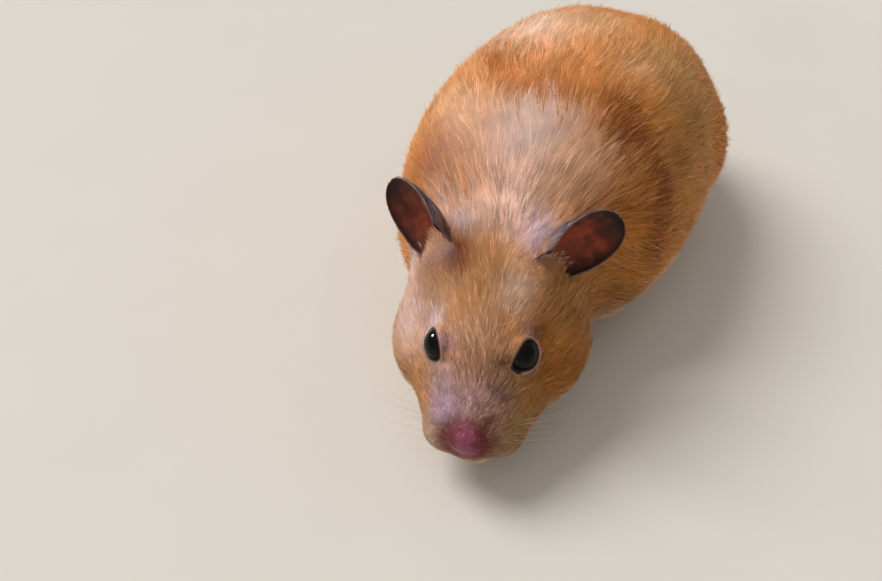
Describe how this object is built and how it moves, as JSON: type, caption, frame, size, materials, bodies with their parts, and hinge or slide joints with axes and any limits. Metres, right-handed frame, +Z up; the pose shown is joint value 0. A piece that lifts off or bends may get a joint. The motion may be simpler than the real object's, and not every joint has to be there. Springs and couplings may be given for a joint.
{
  "type": "syrian hamster",
  "caption": "Still life-size Syrian hamster with golden coat, creeping forward low with its head turned a little to one side.",
  "frame": {"origin": "on the floor, below the middle of the animal's box", "axes": "the nose is toward -Y and the rump toward +Y, the animal's left side is toward +X, and +Z is up"},
  "size_m": [0.0842, 0.1426, 0.0549],
  "materials": {
    "body_coat": "soft dense golden orange fur",
    "face_coat": "short golden fur, pinkish toward the muzzle",
    "ears": "thin dark skin with very short down",
    "eyes": "wet glossy black",
    "nose": "moist pink skin",
    "bare_skin": "pink skin with sparse pale hair",
    "claws": "translucent pale horn"
  },
  "bodies": {
    "root": {"belly": "body_coat", "chest": "body_coat", "claw_fore_left_1": "claws", "claw_fore_left_2": "claws", "claw_fore_left_3": "claws", "claw_fore_left_4": "claws", "claw_fore_right_1": "claws", "claw_fore_right_2": "claws", "claw_fore_right_3": "claws", "claw_fore_right_4": "claws", "claw_hind_left_1": "claws", "claw_hind_left_2": "claws", "claw_hind_left_3": "claws", "claw_hind_left_4": "claws", "claw_hind_left_5": "claws", "claw_hind_right_1": "claws", "claw_hind_right_2": "claws", "claw_hind_right_3": "claws", "claw_hind_right_4": "claws", "claw_hind_right_5": "claws", "ear_left": "ears", "ear_right": "ears", "eye_left": "eyes", "eye_right": "eyes", "forefoot_left": "bare_skin", "forefoot_right": "bare_skin", "foreleg_left": "body_coat", "foreleg_right": "body_coat", "head": "face_coat", "hindfoot_left": "bare_skin", "hindfoot_right": "bare_skin", "neck": "body_coat", "nose": "nose", "rump": "body_coat", "tail": "bare_skin", "thigh_left": "body_coat", "thigh_right": "body_coat"}
  },
  "joints": []
}
